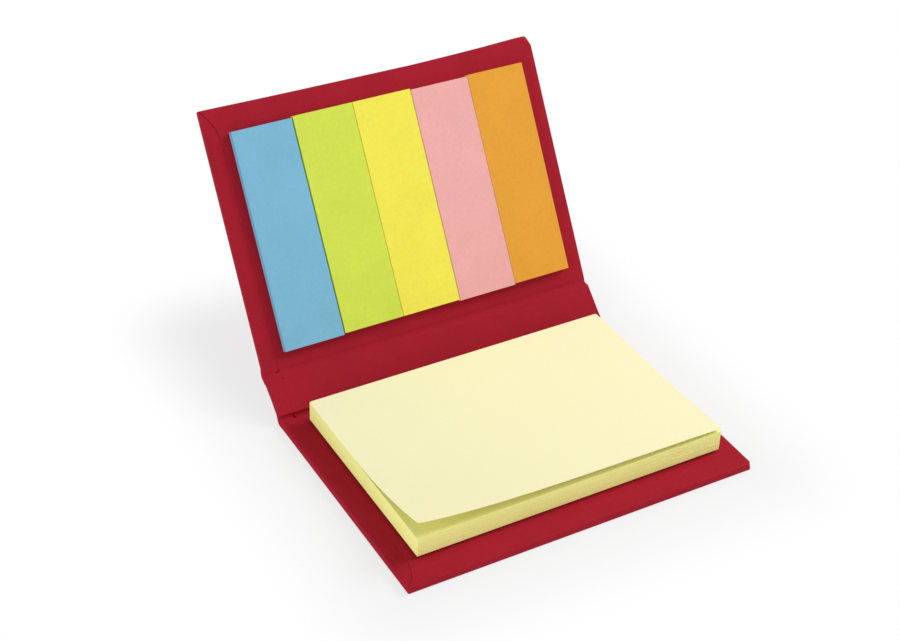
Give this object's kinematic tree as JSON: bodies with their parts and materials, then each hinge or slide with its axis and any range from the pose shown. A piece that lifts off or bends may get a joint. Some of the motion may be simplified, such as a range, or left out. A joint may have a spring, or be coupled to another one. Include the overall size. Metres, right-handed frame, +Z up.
{
  "type": "sticky note booklet",
  "caption": "Hard-cover sticky note booklet standing open: a note pad on the back cover and narrow page flag pads in a row on the front cover.",
  "frame": {"origin": "centre of the back cover's underside, on the table", "axes": "+X along the creases, to the right as the booklet is read; +Y from the back cover's free edge to the spine; +Z up"},
  "size_m": [0.0844, 0.1006, 0.0594],
  "materials": {
    "greyboard": "raw grey board",
    "cover_paper": "matte dyed cover paper",
    "note_paper": "matte uncoated note paper",
    "flag_blue": "matte coloured paper",
    "flag_green": "matte coloured paper",
    "flag_yellow": "matte coloured paper",
    "flag_pink": "matte coloured paper",
    "flag_orange": "matte coloured paper"
  },
  "bodies": {
    "back_cover": {"back_board": "greyboard", "back_wrap": "cover_paper", "note_pad": "note_paper", "top_note": "note_paper"},
    "spine": {"spine_board": "greyboard", "spine_wrap": "cover_paper"},
    "front_cover": {"front_board": "greyboard", "front_wrap": "cover_paper", "flag_pad_blue": "flag_blue", "flag_pad_green": "flag_green", "flag_pad_yellow": "flag_yellow", "flag_pad_pink": "flag_pink", "flag_pad_orange": "flag_orange"}
  },
  "joints": [
    {"name": "spine_fold", "type": "hinge", "parent": "back_cover", "child": "spine", "pos_m": [0, 0.03005, 0.00095], "axis": [1, 0, 0], "range_deg": [-41, 49]},
    {"name": "cover_fold", "type": "hinge", "parent": "spine", "child": "front_cover", "pos_m": [0, 0.03813, 0.00797], "axis": [1, 0, 0], "range_deg": [-17.2, 72.8], "deforming": ["top_note"]}
  ]
}
